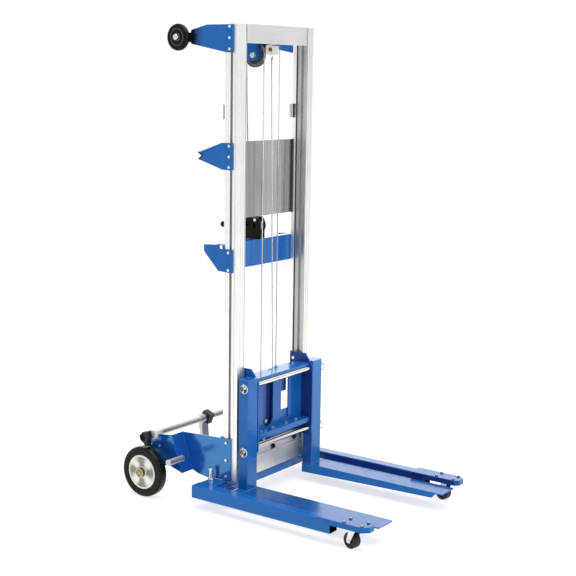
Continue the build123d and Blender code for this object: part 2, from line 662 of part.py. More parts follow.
with BuildPart() as hoist_cable:
    # from the winch drum up and over the upper sheave
    start = Vector(DRUM_X - 13.5, DRUM_Y + DRUM_LAYER + CABLE_R + 0.4 + MY, DRUM_Z)
    crest = Vector(UP_X, UP_Y + UP_R + MY, UP_Z)
    with BuildLine():
        run = Line(start, crest)
    with BuildSketch(Plane(origin=start, z_dir=crest - start)):
        Circle(CABLE_R)
    sweep(path=run)
    with Locations(Location(crest)):
        Sphere(CABLE_R)
    with BuildSketch(Plane.XY.offset(UP_Z)):
        with Locations((UP_X, UP_Y + UP_R + MY)):
            Circle(CABLE_R)
    revolve(axis=Axis((UP_X, UP_Y + MY, UP_Z), (1, 0, 0)), revolution_arc=180)
hoist_cable.part.label = "hoist_cable"
export_step(hoist_cable.part, "parts/hoist_cable.step")

with BuildPart() as lift_cable:
    # down to the inner mast's lower sheave, round it, and up to the dead end
    left_run = Vector(UP_X, LO_Y + MY, LO_Z)
    right_run = Vector(LO_X + LO_R, LO_Y + MY, LO_Z)
    dead = Vector(DEAD_X, LO_Y + MY, DEAD_Z - 4.2)
    with BuildSketch(Plane.XY.offset(LO_Z)):
        with Locations((UP_X, LO_Y + MY)):
            Circle(CABLE_R)
    extrude(amount=UP_Z - 0.2 - LO_Z)
    with BuildSketch(Plane.XY.offset(LO_Z)):
        with Locations((UP_X, LO_Y + MY)):
            Circle(CABLE_R)
    revolve(axis=Axis((LO_X, LO_Y + MY, LO_Z), (0, -1, 0)), revolution_arc=180)
    with BuildLine():
        run = Line(right_run, dead)
    with BuildSketch(Plane(origin=right_run, z_dir=dead - right_run)):
        Circle(CABLE_R)
    sweep(path=run)
    with Locations(Location(right_run)):
        Sphere(CABLE_R)
lift_cable.part.label = "lift_cable"
export_step(lift_cable.part, "parts/lift_cable.step")

with BuildPart() as carriage_cable:
    with BuildSketch(Plane.XY.offset(512.2)):
        with Locations((TOP_X, TOP_Y - TOP_R + MY)):
            Circle(2.0)
    extrude(amount=TOP_Z - 512.2)
carriage_cable.part.label = "carriage_cable"
export_step(carriage_cable.part, "parts/carriage_cable.step")

with BuildPart() as return_cable:
    # over the top sheave and down to its lug on the outer mast
    with BuildSketch(Plane.XY.offset(TOP_Z + 0.1)):
        with Locations((TOP_X, TOP_Y + TOP_R + MY)):
            Circle(2.0)
    revolve(axis=Axis((TOP_X, TOP_Y + MY, TOP_Z + 0.1), (1, 0, 0)), revolution_arc=180)
    with BuildSketch(Plane.XY.offset(1766.1)):
        with Locations((TOP_X, TOP_Y + TOP_R + MY)):
            Circle(2.0)
    extrude(amount=TOP_Z + 0.1 - 1766.1)
return_cable.part.label = "return_cable"
export_step(return_cable.part, "parts/return_cable.step")

# ================================================================ inner mast
with BuildPart() as inner_columns:
    for s in (-1, 1):
        with BuildSketch(Plane.XY.offset(IN_BOTTOM)):
            with Locations((s * (IN_X0 + IN_X1) / 2, IN_D / 2 + MY)):
                Rectangle(IN_X1 - IN_X0, IN_D)
            # hollow front flange
            with Locations((s * 215.0, 7.0 + MY)):
                Rectangle(28, 7, mode=Mode.SUBTRACT)
            # channel for the carriage blocks, open to the middle
            with Locations((s * (IN_X0 + CHANNEL_X) / 2, 20 + MY)):
                Rectangle(CHANNEL_X - IN_X0 + 0.001, 12, mode=Mode.SUBTRACT)
            # extruded lines: side face, front face, inner front edge
            with Locations((s * (IN_X1 - 0.8), 17.2 + MY)):
                Rectangle(2.0, 2.2, mode=Mode.SUBTRACT)
            with Locations((s * 208.0, 0.2 + MY), (s * 222.0, 0.2 + MY)):
                Rectangle(1.6, 1.6, mode=Mode.SUBTRACT)
            with Locations((s * 195.3, MY)):
                Rectangle(2.6, 14.0, mode=Mode.SUBTRACT)
            # tongue that runs in the outer column
            with Locations((s * 208.5, 38.5 + MY)):
                Rectangle(21, 17)
            with Locations((s * 214.0, 51.0 + MY)):
                Rectangle(24, 8)
        extrude(amount=IN_TOP - IN_BOTTOM)
inner_columns.part.label = "inner_columns"
export_step(inner_columns.part, "parts/inner_columns.step")

with BuildPart() as inner_crossbar:
    # front plate stops short of the columns, its folds reach them
    with Locations((0, 2.5 + MY, 1788.5)):
        Box(2 * IN_X0 - 7, 5, 69)
    with Locations((0, 10 + MY, 1756), (0, 10 + MY, 1821)):
        Box(2 * IN_X0, 10, 4)
    # ears and pin of the carriage cable sheave
    for x in (28.5, 47.5):
        with Locations((x, 27 + MY, 1792)):
            Box(3, 46, 40)
    with Locations((TOP_X, TOP_Y + MY, TOP_Z)):
        Cylinder(4, 26, rotation=(0, 90, 0))
inner_crossbar.part.label = "inner_crossbar"
export_step(inner_crossbar.part, "parts/inner_crossbar.step")

with BuildPart() as inner_bottom_plate:
    with BuildSketch(Plane.XZ.offset(-(34 + MY))):
        with BuildLine():
            Polyline(
                (-197.7, 112), (197.7, 112), (197.7, 180), (95, 190), (62, 246), (-35, 246), (-68, 190), (-197.7, 180), close=True,
            )
        make_face()
    extrude(amount=4)
inner_bottom_plate.part.label = "inner_bottom_plate"
export_step(inner_bottom_plate.part, "parts/inner_bottom_plate.step")

with BuildPart() as lower_sheave_axle:
    with Locations((LO_X, 44.5 + MY, LO_Z)):
        Cylinder(7, 21, rotation=(90, 0, 0))
    with Locations((LO_X, 53.0 + MY, LO_Z)):
        Cylinder(13, 4, rotation=(90, 0, 0))
    with Locations((LO_X, 35.5 + MY, LO_Z)):
        Cylinder(12, 3, rotation=(90, 0, 0))
lower_sheave_axle.part.label = "lower_sheave_axle"
export_step(lower_sheave_axle.part, "parts/lower_sheave_axle.step")

with BuildPart() as mast_glides:
    for s in (-1, 1):
        with Locations((s * 214.0, 59.7 + MY, 140)):
            Box(22, 9.4, 80)
mast_glides.part.label = "mast_glides"
export_step(mast_glides.part, "parts/mast_glides.step")

# ================================================================ carriage
side_outline = [
    (27, 104), (27, 300), (50, 330), (50, 535), (-25, 535), (-62, 485), (-62, 215), (-50, 202), (-2, 202), (-2, 104),
]
with BuildPart() as carriage_sides:
    for s in (-1, 1):
        with BuildSketch(Plane.YZ.offset(s * (SIDE_X0 + SIDE_X1) / 2)):
            with BuildLine():
                Polyline(*yz(side_outline), close=True)
            make_face()
            with Locations(*[(ROD_Y + MY, z) for z in ROD_Z]):
                Circle(ROD_R + 0.05, mode=Mode.SUBTRACT)
        extrude(amount=(SIDE_X1 - SIDE_X0) / 2, both=True)
carriage_sides.part.label = "carriage_sides"
export_step(carriage_sides.part, "parts/carriage_sides.step")

with BuildPart() as carriage_front_plate:
    with BuildSketch(Plane.XZ.offset(-(-2 + MY))):
        with Locations((0, 360)):
            Rectangle(2 * SIDE_X0, 272)
        # two openings: a round-bottomed one and a square window
        with Locations((-47, 378)):
            SlotCenterToCenter(136, 66, rotation=90, mode=Mode.SUBTRACT)
        with Locations((64, 375)):
            RectangleRounded(50, 178, 4, mode=Mode.SUBTRACT)
    extrude(amount=6)
    # folded top flange with its lip, and a slot in it
    with BuildSketch(Plane.XY.offset(492)):
        with Locations((0, -10.5 + MY)):
            Rectangle(2 * SIDE_X0, 71)
        with Locations((-18, 6 + MY)):
            SlotOverall(24, 9, mode=Mode.SUBTRACT)
    extrude(amount=6)
    with Locations((0, -44 + MY, 492.5)):
        Box(2 * SIDE_X0, 4, 11)
    # folded lower flange with its lip
    with Locations((0, -29 + MY, 271)):
        Box(2 * SIDE_X0, 42, 6)
    with Locations((0, -48 + MY, 264)):
        Box(2 * SIDE_X0, 4, 20)
    # stiffener behind the round-bottomed opening
    with Locations((-47, 12 + MY, 382)):
        Box(86, 4, 228)
    with Locations((-92, 6 + MY, 382), (-2, 6 + MY, 382)):
        Box(4, 16, 228)
    # cable socket behind the window, and a strap across its foot
    with Locations((57, 12 + MY, 444)):
        Box(68, 12, 97)
    with Locations((64, 1 + MY, 302)):
        Box(62, 6, 44)
carriage_front_plate.part.label = "carriage_front_plate"
export_step(carriage_front_plate.part, "parts/carriage_front_plate.step")

with BuildPart() as carriage_lower_plate:
    with BuildSketch(Plane.XZ.offset(-(-2 + MY))):
        with BuildLine():
            Polyline((-182, 116), (-172, 104), (172, 104), (182, 116), (182, 178), (-182, 178), close=True)
        make_face()
    extrude(amount=6)
    with Locations((0, 1 + MY, 211)):
        Box(2 * SIDE_X0, 6, 106)
carriage_lower_plate.part.label = "carriage_lower_plate"
export_step(carriage_lower_plate.part, "parts/carriage_lower_plate.step")

with BuildPart() as slide_blocks:
    for s in (-1, 1):
        for z in (145, 485):
            with Locations((s * 200.75, 20 + MY, z)):
                Box(9.5, 11, 70)
            with Locations((s * 190.5, 20 + MY, z)):
                Cylinder(4.5, 15, rotation=(0, 90, 0))
slide_blocks.part.label = "slide_blocks"
export_step(slide_blocks.part, "parts/slide_blocks.step")

with BuildPart() as fork_rods:
    for z in ROD_Z:
        with Locations((0, ROD_Y + MY, z)):
            Cylinder(ROD_R, 532, rotation=(0, 90, 0))
        with Locations((-256, ROD_Y + MY, z), (256, ROD_Y + MY, z)):
            Cylinder(3.1, 30, mode=Mode.SUBTRACT)
fork_rods.part.label = "fork_rods"
export_step(fork_rods.part, "parts/fork_rods.step")

with BuildPart() as lynch_pins:
    for z in ROD_Z:
        for s in (-1, 1):
            with Locations((s * 256.0, ROD_Y + MY, z)):
                Cylinder(3, 34)
            with Locations((s * 256.0, ROD_Y - 3 + MY, z - 4)):
                Torus(16, 1.7, rotation=(0, 90, 0))
lynch_pins.part.label = "lynch_pins"
export_step(lynch_pins.part, "parts/lynch_pins.step")

with BuildPart() as fork_posts:
    for s in (-1, 1):
        with BuildSketch(Plane.XY.offset(TINE_TOP)):
            with Locations((s * (POST_X0 + POST_X1) / 2, (POST_Y0 + POST_Y1) / 2 + MY)):
                RectangleRounded(POST_X1 - POST_X0, POST_Y1 - POST_Y0, 4)
                RectangleRounded(POST_X1 - POST_X0 - 8, POST_Y1 - POST_Y0 - 8, 2, mode=Mode.SUBTRACT)
        extrude(amount=POST_TOP - TINE_TOP)
        with BuildSketch(Plane.XY.offset(POST_TOP - 4)):
            with Locations((s * (POST_X0 + POST_X1) / 2, (POST_Y0 + POST_Y1) / 2 + MY)):
                RectangleRounded(POST_X1 - POST_X0, POST_Y1 - POST_Y0, 4)
        extrude(amount=4)
        # foot plate on the fork's flanges
        with Locations((s * (TINE_X0 + TINE_X1) / 2, -40 + MY, TINE_TOP - 2.5)):
            Box(TINE_X1 - TINE_X0, 48, 5)
    for z in ROD_Z:
        with Locations((0, ROD_Y + MY, z)):
            Cylinder(ROD_R + 0.05, 600, rotation=(0, 90, 0), mode=Mode.SUBTRACT)
fork_posts.part.label = "fork_posts"
export_step(fork_posts.part, "parts/fork_posts.step")

FOOT_Y = -64.0                         # front edge of the posts' foot plates
with BuildPart() as fork_tines:
    for s in (-1, 1):
        xm = s * (TINE_X0 + TINE_X1) / 2
        with BuildSketch(Plane.XY.offset(TINE_TOP - 5)):
            with BuildLine():
                Polyline(
                    (s * TINE_X0, FOOT_Y + MY), (s * TINE_X0, TINE_TIP + 4 + MY), (s * (TINE_X0 + 4), TINE_TIP + MY),
                    (s * (TINE_X1 - 4), TINE_TIP + MY), (s * TINE_X1, TINE_TIP + 4 + MY), (s * TINE_X1, FOOT_Y + MY),
                    close=True,
                )
            make_face()
        extrude(amount=5)
        flange = [
            (POST_Y1, 37), (POST_Y1, 71), (FOOT_Y, 71), (FOOT_Y, 71.5), (TINE_TIP + 28, 71.5), (TINE_TIP + 44, 53.5),
        ]
        for x in (TINE_X0 + 2.5, TINE_X1 - 2.5):
            with BuildSketch(Plane.YZ.offset(s * x)):
                with BuildLine():
                    Polyline(*yz(flange), close=True)
                make_face()
            extrude(amount=2.5, both=True)
        with Locations((xm, POST_Y1 - 2.5 + MY, 54)):
            Box(TINE_X1 - TINE_X0, 5, 34)
fork_tines.part.label = "fork_tines"
export_step(fork_tines.part, "parts/fork_tines.step")

# ================================================================ fasteners
HEX_R = 6.0
with BuildPart() as frame_bolts:
    # hexagon heads on the bolted side plates
    spots = (
        [(40, z) for z in (1812, 1771, 1731)] + [(40, z) for z in (1379, 1339, 1301)]
        + [(40, 982), (40, 916)] + [(46, z) for z in (245, 176, 111)]
    )
    for s in (-1, 1):
        with BuildSketch(Plane.YZ.offset(s * (PLATE_X0 + PLATE_T))):
            with Locations(*yz(spots)):
                RegularPolygon(HEX_R, 6)
        extrude(amount=s * 5)
        with BuildSketch(Plane.YZ.offset(s * STEP_X1)):
            with Locations(*yz([(330, 196), (371, 196)])):
                RegularPolygon(5, 6)
        extrude(amount=s * 4)
        with BuildSketch(Plane.YZ.offset(s * (PLATE_X0 + PLATE_T))):
            with Locations(*yz([(200, 1781), (200, 1767)])):
                RegularPolygon(4.5, 6)
        extrude(amount=s * 3)
        # caster plate bolts
        with BuildSketch(Plane.XY.offset(97)):
            with Locations(*[(s * x, y + MY) for x in (309, 352) for y in (-645, -571)]):
                RegularPolygon(6.5, 6)
        extrude(amount=5)
        # tall stud beside each wheel bracket
        with Locations((s * 261, 104 + MY, 94.5)):
            Cylinder(13, 5)
        with Locations((s * 261, 104 + MY, 115)):
            Cylinder(7.5, 36)
        with Locations((s * 261, 104 + MY, 136)):
            Cylinder(11, 6)
        # winch shelf bolts
    with BuildSketch(Plane.XY.offset(1014)):
        with Locations((-10, 66 + 80 + MY), (18, 66 + 80 + MY)):
            RegularPolygon(5.5, 6)
    extrude(amount=4)
    # pin head on the winch's side plate
    with BuildSketch(Plane.YZ.offset(-22)):
        with Locations((84 + MY, 1084)):
            Circle(6)
    extrude(amount=-4)
frame_bolts.part.label = "frame_bolts"
export_step(frame_bolts.part, "parts/frame_bolts.step")

with BuildPart() as carriage_bolts:
    for s in (-1, 1):
        with BuildSketch(Plane.YZ.offset(s * SIDE_X0)):
            with Locations(*yz([(32, 510), (32, 468), (20, 125), (20, 165)])):
                RegularPolygon(7, 6)
        extrude(amount=-s * 5)
    with BuildSketch(Plane.XZ.offset(-(-2 + MY))):
        with Locations((-6, 188)):
            RegularPolygon(10.5, 6)
        with Locations((135, 196)):
            RegularPolygon(12, 6)
    extrude(amount=7)
    with BuildSketch(Plane.XZ.offset(-(-8 + MY))):
        with Locations((-76, 236), (-48, 235)):
            RegularPolygon(8, 6)
    extrude(amount=6)
    # bolt on the stiffener, seen through the round-bottomed opening
    with BuildSketch(Plane.XZ.offset(-(10 + MY))):
        with Locations((-42, 294)):
            RegularPolygon(8, 6)
    extrude(amount=6)
    with BuildSketch(Plane.XY.offset(274)):
        with Locations(*[(x, -26 + MY) for x in (-118, -40, 48, 116)]):
            RegularPolygon(7, 6)
    extrude(amount=5)
    # nut and stud that hold the carriage cable
    with BuildSketch(Plane.XY.offset(498)):
        with Locations((TOP_X, TOP_Y - TOP_R + MY)):
            RegularPolygon(8, 6)
    extrude(amount=6)
    with BuildSketch(Plane.XY.offset(504)):
        with Locations((TOP_X, TOP_Y - TOP_R + MY)):
            Circle(4.5)
    extrude(amount=8)
carriage_bolts.part.label = "carriage_bolts"
export_step(carriage_bolts.part, "parts/carriage_bolts.step")
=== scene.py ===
import json
import math
import bpy
import bmesh
from mathutils import Vector, Matrix


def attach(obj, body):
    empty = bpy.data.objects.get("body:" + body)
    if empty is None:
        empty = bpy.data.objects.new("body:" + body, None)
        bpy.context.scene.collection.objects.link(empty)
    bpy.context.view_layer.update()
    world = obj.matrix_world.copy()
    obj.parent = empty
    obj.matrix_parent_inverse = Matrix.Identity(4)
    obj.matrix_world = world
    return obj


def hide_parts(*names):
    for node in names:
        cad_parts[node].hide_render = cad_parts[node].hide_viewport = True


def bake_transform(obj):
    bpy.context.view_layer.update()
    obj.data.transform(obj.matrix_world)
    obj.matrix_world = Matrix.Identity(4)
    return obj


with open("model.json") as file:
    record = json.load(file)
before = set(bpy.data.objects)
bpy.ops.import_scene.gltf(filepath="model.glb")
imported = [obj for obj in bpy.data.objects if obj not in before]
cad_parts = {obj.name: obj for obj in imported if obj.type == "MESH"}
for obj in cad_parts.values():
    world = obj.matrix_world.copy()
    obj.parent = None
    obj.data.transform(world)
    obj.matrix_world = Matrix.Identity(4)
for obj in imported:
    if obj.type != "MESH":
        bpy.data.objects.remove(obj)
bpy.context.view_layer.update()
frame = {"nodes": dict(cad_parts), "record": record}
N = frame["nodes"]
scene = bpy.context.scene

# ------------------------------------------------------------------ camera
YAW, PITCH, ROLL = 0.94831086, 0.16734124, -0.01429542
look = Vector((math.cos(PITCH) * math.sin(YAW), math.cos(PITCH) * math.cos(YAW), -math.sin(PITCH)))
side = Vector((math.cos(YAW), -math.sin(YAW), 0.0))
down = look.cross(side)
right = math.cos(ROLL) * side + math.sin(ROLL) * down
low = -math.sin(ROLL) * side + math.cos(ROLL) * down
cam_data = bpy.data.cameras.new("camera")
cam_data.sensor_width = 36.0
cam_data.lens = 78.633
cam_data.clip_start, cam_data.clip_end = 0.05, 60.0
cam = bpy.data.objects.new("camera", cam_data)
scene.collection.objects.link(cam)
cam.matrix_world = Matrix((
    (right.x, -low.x, -look.x, -3.89654511),
    (right.y, -low.y, -look.y, -2.75255711),
    (right.z, -low.z, -look.z, 1.63897632),
    (0, 0, 0, 1),
))
scene.camera = cam
scene.view_settings.view_transform = "Standard"


# ------------------------------------------------------------------ node helpers
class Tree:
    """Small helper that adds shader nodes and links them."""

    def __init__(self, name):
        self.mat = bpy.data.materials.new(name)
        self.mat.use_nodes = True
        self.t = self.mat.node_tree
        self.t.nodes.clear()
        self.out = self.t.nodes.new("ShaderNodeOutputMaterial")
        self.bsdf = self.t.nodes.new("ShaderNodeBsdfPrincipled")
        self.t.links.new(self.bsdf.outputs[0], self.out.inputs[0])
        self.coord = self.t.nodes.new("ShaderNodeTexCoord")
        self.xyz = None

    def link(self, a, b):
        self.t.links.new(a, b)

    def set(self, **kw):
        for k, v in kw.items():
            self.bsdf.inputs[k.replace("_", " ")].default_value = v

    def axis(self, i):
        """One object coordinate, in metres."""
        if self.xyz is None:
            self.xyz = self.t.nodes.new("ShaderNodeSeparateXYZ")
            self.link(self.coord.outputs["Object"], self.xyz.inputs[0])
        return self.xyz.outputs[i]

    def scaled(self, sx, sy, sz, rot=(0, 0, 0)):
        m = self.t.nodes.new("ShaderNodeMapping")
        m.inputs["Scale"].default_value = (sx, sy, sz)
        m.inputs["Rotation"].default_value = rot
        self.link(self.coord.outputs["Object"], m.inputs["Vector"])
        return m.outputs[0]

    def noise(self, scale, detail=3.0, rough=0.55, vec=None, dist=0.0):
        n = self.t.nodes.new("ShaderNodeTexNoise")
        n.inputs["Scale"].default_value = scale
        n.inputs["Detail"].default_value = detail
        n.inputs["Roughness"].default_value = rough
        n.inputs["Distortion"].default_value = dist
        self.link(vec if vec is not None else self.coord.outputs["Object"], n.inputs["Vector"])
        return n.outputs[0]

    def remap(self, value, a, b, c, d):
        m = self.t.nodes.new("ShaderNodeMapRange")
        m.inputs["From Min"].default_value = a
        m.inputs["From Max"].default_value = b
        m.inputs["To Min"].default_value = c
        m.inputs["To Max"].default_value = d
        self.link(value, m.inputs["Value"])
        return m.outputs[0]

    def math(self, op, a, b=None):
        m = self.t.nodes.new("ShaderNodeMath")
        m.operation = op
        for i, v in enumerate((a, b)):
            if v is None:
                continue
            if isinstance(v, (int, float)):
                m.inputs[i].default_value = v
            else:
                self.link(v, m.inputs[i])
        return m.outputs[0]

    def mix(self, fac, a, b):
        m = self.t.nodes.new("ShaderNodeMix")
        m.data_type = "RGBA"
        for s, v in ((m.inputs[0], fac), (m.inputs[6], a), (m.inputs[7], b)):
            if isinstance(v, (int, float)):
                s.default_value = v
            elif isinstance(v, tuple):
                s.default_value = (*v, 1.0)
            else:
                self.link(v, s)
        return m.outputs[2]

    def blendf(self, fac, a, b):
        """a where fac is 0, b where fac is 1, for single values."""
        keep = self.math("MULTIPLY", a, self.math("SUBTRACT", 1.0, fac))
        return self.math("ADD", keep, self.math("MULTIPLY", b, fac))

    def bump(self, height, strength, distance, normal=None):
        b = self.t.nodes.new("ShaderNodeBump")
        b.inputs["Strength"].default_value = strength
        b.inputs["Distance"].default_value = distance
        self.link(height, b.inputs["Height"])
        if normal is not None:
            self.link(normal, b.inputs["Normal"])
        return b.outputs[0]

    def edge(self, radius, samples=4):
        """0 on flat faces, rising to 1 towards sharp edges."""
        bev = self.t.nodes.new("ShaderNodeBevel")
        bev.samples = samples
        bev.inputs["Radius"].default_value = radius
        geo = self.t.nodes.new("ShaderNodeNewGeometry")
        dot = self.t.nodes.new("ShaderNodeVectorMath")
        dot.operation = "DOT_PRODUCT"
        self.link(bev.outputs[0], dot.inputs[0])
        self.link(geo.outputs["Normal"], dot.inputs[1])
        return self.remap(dot.outputs["Value"], 0.995, 0.86, 0.0, 1.0)

    def color(self, socket):
        self.link(socket, self.bsdf.inputs["Base Color"])

    def rough(self, socket):
        self.link(socket, self.bsdf.inputs["Roughness"])

    def normal(self, socket):
        self.link(socket, self.bsdf.inputs["Normal"])


def paint(name, deep, light, edge, tint, coat=0.25, gloss=(0.16, 0.28), bare=None, shade=(), spec=0.5, ior=1.5):
    """Glossy powder coat: cloudy tone, orange peel, lighter edges where the coat is thin.
    bare(tree) gives a mask of places that are plated steel instead,
    shade is a list of (mask, colour) for places toned to match the light in the photo."""
    m = Tree(name)
    cloud = m.noise(5.0, 4.0)
    tone = m.mix(m.remap(cloud, 0.3, 0.7, 0.0, 1.0), deep, light)
    for mask, colour in shade:
        tone = m.mix(mask(m), tone, m.mix(m.remap(cloud, 0.3, 0.7, 0.0, 1.0), colour, tuple(1.2 * c for c in colour)))
    wear = m.math("MULTIPLY", m.edge(0.003), m.remap(m.noise(38.0, 3.0), 0.35, 0.7, 0.10, 0.45))
    tone = m.mix(wear, tone, edge)
    rough = m.remap(m.noise(30.0, 3.0), 0.3, 0.7, *gloss)
    if bare is not None:
        mask = bare(m)
        steel = m.mix(m.remap(m.noise(140.0, 3.0), 0.3, 0.7, 0.0, 1.0), (0.60, 0.60, 0.59), (0.80, 0.80, 0.79))
        tone = m.mix(mask, tone, steel)
        rough = m.blendf(mask, rough, m.remap(m.noise(80.0, 3.0), 0.3, 0.7, 0.20, 0.36))
        m.link(mask, m.bsdf.inputs["Metallic"])
    m.color(tone)
    m.rough(rough)
    peel = m.bump(m.noise(420.0, 2.0), 0.06, 0.0005)
    m.normal(m.bump(m.noise(22.0, 2.0), 0.03, 0.004, peel))
    m.set(Coat_Weight=coat, Coat_Roughness=0.04, IOR=ior, Specular_IOR_Level=spec, Specular_Tint=(*tint, 1.0))
    return m.mat


def metal(name, dark, light, rough, grain=(60, 60, 1.2), streak=0.5, metallic=1.0, bump=0.08, second=None, turned=0.0):
    """Drawn or brushed metal: fine streaks along one axis, cloudy handling marks.
    second is (mask(tree), dark, light) for places of another colour: another finish on some nodes, painted shade,
    painted light and painted highlights on others."""
    m = Tree(name)
    v = m.scaled(*grain)
    lines = m.noise(6.0, 5.0, 0.65, v)
    cloud = m.noise(7.0, 3.0)
    both = m.math("ADD", m.math("MULTIPLY", lines, streak), m.math("MULTIPLY", cloud, 1.0 - streak))
    fac = m.remap(both, 0.36, 0.64, 0.0, 1.0)
    tone = m.mix(fac, dark, light)
    if second is not None:
        low, high = [c(m) if callable(c) else c for c in second[1:]]
        tone = m.mix(second[0](m), tone, m.mix(fac, low, high))
    m.color(tone)
    m.rough(m.remap(both, 0.35, 0.65, rough[0], rough[1]))
    fine = m.noise(24.0, 3.0, 0.6, v)
    m.normal(m.bump(fine, bump, 0.0006))
    m.set(Metallic=metallic)
    if turned:
        tan = m.t.nodes.new("ShaderNodeTangent")
        tan.direction_type = "RADIAL"
        tan.axis = "X"
        m.link(tan.outputs[0], m.bsdf.inputs["Tangent"])
        m.set(Anisotropic=turned)
    return m.mat


def turned_rim(name, cy, cz):
    """Face-turned casting: fine rings round the axle; four bright and dark sectors by angle round it, a painted
    reflection; a lighter outer lip and hub.
    """
    m = Tree(name)
    dy = m.math("SUBTRACT", m.axis(1), cy)
    dz = m.math("SUBTRACT", m.axis(2), cz)
    r = radius(m, cy, cz)
    wander = m.remap(m.noise(18.0, 3.0), 0.3, 0.7, -0.55, 0.55)
    # painted reflection: four bright and dark sectors by angle round the axle
    turn = m.math("ADD", m.math("MULTIPLY", m.math("ARCTAN2", dz, dy), 4.0), wander)
    sheen = m.remap(m.math("COSINE", turn), 0.75, -0.75, 0.0, 1.0)
    cut = m.t.nodes.new("ShaderNodeCombineXYZ")
    m.link(m.math("MULTIPLY", r, 900.0), cut.inputs[0])
    rings = m.noise(1.0, 4.0, 0.7, cut.outputs[0])
    edge = m.math("MAXIMUM", m.math("GREATER_THAN", r, 0.0598), m.math("LESS_THAN", r, 0.0250))
    fac = m.math("MAXIMUM", m.math("ADD", m.math("MULTIPLY", sheen, 0.78), m.remap(rings, 0.35, 0.65, 0.0, 0.22)), m.math("MULTIPLY", edge, 0.7))
    m.color(m.mix(fac, (0.165, 0.155, 0.135), (0.785, 0.768, 0.715)))
    m.rough(m.remap(rings, 0.3, 0.7, 0.24, 0.38))
    m.normal(m.bump(rings, 0.10, 0.0006))
    tan = m.t.nodes.new("ShaderNodeTangent")
    tan.direction_type = "RADIAL"
    tan.axis = "X"
    m.link(tan.outputs[0], m.bsdf.inputs["Tangent"])
    m.set(Metallic=1.0, Anisotropic=0.6)
    return m.mat


def rubber(name, dark, light, rough=(0.38, 0.55), spec=0.35, second=None, tint=(1.0, 1.0, 1.0)):
    """Moulded rubber: bloom in soft clouds, fine grain, dust in scattered patches.
    second is (mask(tree), colour) for places of another colour: on the load wheels a grey hub, and a grey ring that is
    a painted highlight."""
    m = Tree(name)
    cloud = m.noise(40.0, 4.0)
    tone = m.mix(m.remap(cloud, 0.35, 0.68, 0.0, 1.0), dark, light)
    dust = m.math("MULTIPLY", m.remap(m.noise(9.0, 3.0), 0.55, 0.75, 0.0, 0.3), m.remap(m.noise(200.0, 2.0), 0.4, 0.6, 0.0, 1.0))
    tone = m.mix(dust, tone, (0.05, 0.048, 0.045))
    if second is not None:
        # load wheels: grey hub in its own colour, plus a grey ring that is a painted highlight
        hub_and_painted_ring = m.math("MULTIPLY", second[0](m), m.remap(cloud, 0.3, 0.7, 0.7, 1.0))
        tone = m.mix(hub_and_painted_ring, tone, second[1])
    m.color(tone)
    m.rough(m.remap(m.noise(90.0, 3.0), 0.3, 0.7, *rough))
    m.normal(m.bump(m.noise(900.0, 3.0), 0.14, 0.0005))
    m.set(Specular_IOR_Level=spec, Specular_Tint=(*tint, 1.0))
    return m.mat


def plastic(name, dark, light, rough=(0.32, 0.5), grain=700.0, spec=0.4):
    m = Tree(name)
    m.color(m.mix(m.remap(m.noise(24.0, 3.0), 0.35, 0.65, 0.0, 1.0), dark, light))
    m.rough(m.remap(m.noise(60.0, 3.0), 0.3, 0.7, *rough))
    m.normal(m.bump(m.noise(grain, 3.0), 0.12, 0.0005))
    m.set(Specular_IOR_Level=spec)
    return m.mat


def rope(name):
    """Stranded wire: diagonal strands round the rope's length."""
    m = Tree(name)
    w = m.t.nodes.new("ShaderNodeTexWave")
    w.wave_type = "BANDS"
    w.bands_direction = "DIAGONAL"
    w.inputs["Scale"].default_value = 130.0
    w.inputs["Distortion"].default_value = 0.6
    w.inputs["Detail"].default_value = 1.0
    m.link(m.coord.outputs["Object"], w.inputs["Vector"])
    cloud = m.noise(14.0, 3.0)
    fac = m.math("MULTIPLY", w.outputs[1], m.remap(cloud, 0.3, 0.7, 0.75, 1.0))
    m.color(m.mix(fac, (0.22, 0.22, 0.22), (0.66, 0.66, 0.65)))
    m.rough(m.remap(cloud, 0.3, 0.7, 0.3, 0.5))
    m.normal(m.bump(w.outputs[1], 0.5, 0.0008))
    m.set(Metallic=0.85)
    return m.mat


def beyond(i, limit, centre=0.0):
    """Mask: further than limit from centre along axis i."""
    return lambda m: m.math("GREATER_THAN", m.math("ABSOLUTE", m.math("SUBTRACT", m.axis(i), centre)), limit)


def inward(m):
    """Mask: faces that look towards the middle of the truck; the darker colours given with it are painted shade."""
    geo = m.t.nodes.new("ShaderNodeNewGeometry")
    n = m.t.nodes.new("ShaderNodeSeparateXYZ")
    m.link(geo.outputs["Normal"], n.inputs[0])
    toward = m.math("MULTIPLY", n.outputs[0], m.math("SIGN", m.axis(0)))
    return m.remap(toward, -0.5, -0.85, 0.0, 1.0)


def away(m):
    """Mask: faces on the winch side and on the truck's left; the darker colours given with it are painted shade, so
    that they show against a white backdrop.
    """
    geo = m.t.nodes.new("ShaderNodeNewGeometry")
    n = m.t.nodes.new("ShaderNodeSeparateXYZ")
    m.link(geo.outputs["Normal"], n.inputs[0])
    turned = m.math("ADD", m.math("MULTIPLY", n.outputs[0], 0.55), m.math("MULTIPLY", n.outputs[1], 0.83))
    return m.remap(turned, 0.35, 0.6, 0.0, 1.0)


def forward(m):
    """Mask: faces that look to the forks; the darker colours given with it are painted shade, so that they show
    against a white backdrop.
    """
    geo = m.t.nodes.new("ShaderNodeNewGeometry")
    n = m.t.nodes.new("ShaderNodeSeparateXYZ")
    m.link(geo.outputs["Normal"], n.inputs[0])
    return m.remap(n.outputs[1], -0.6, -0.85, 0.0, 1.0)


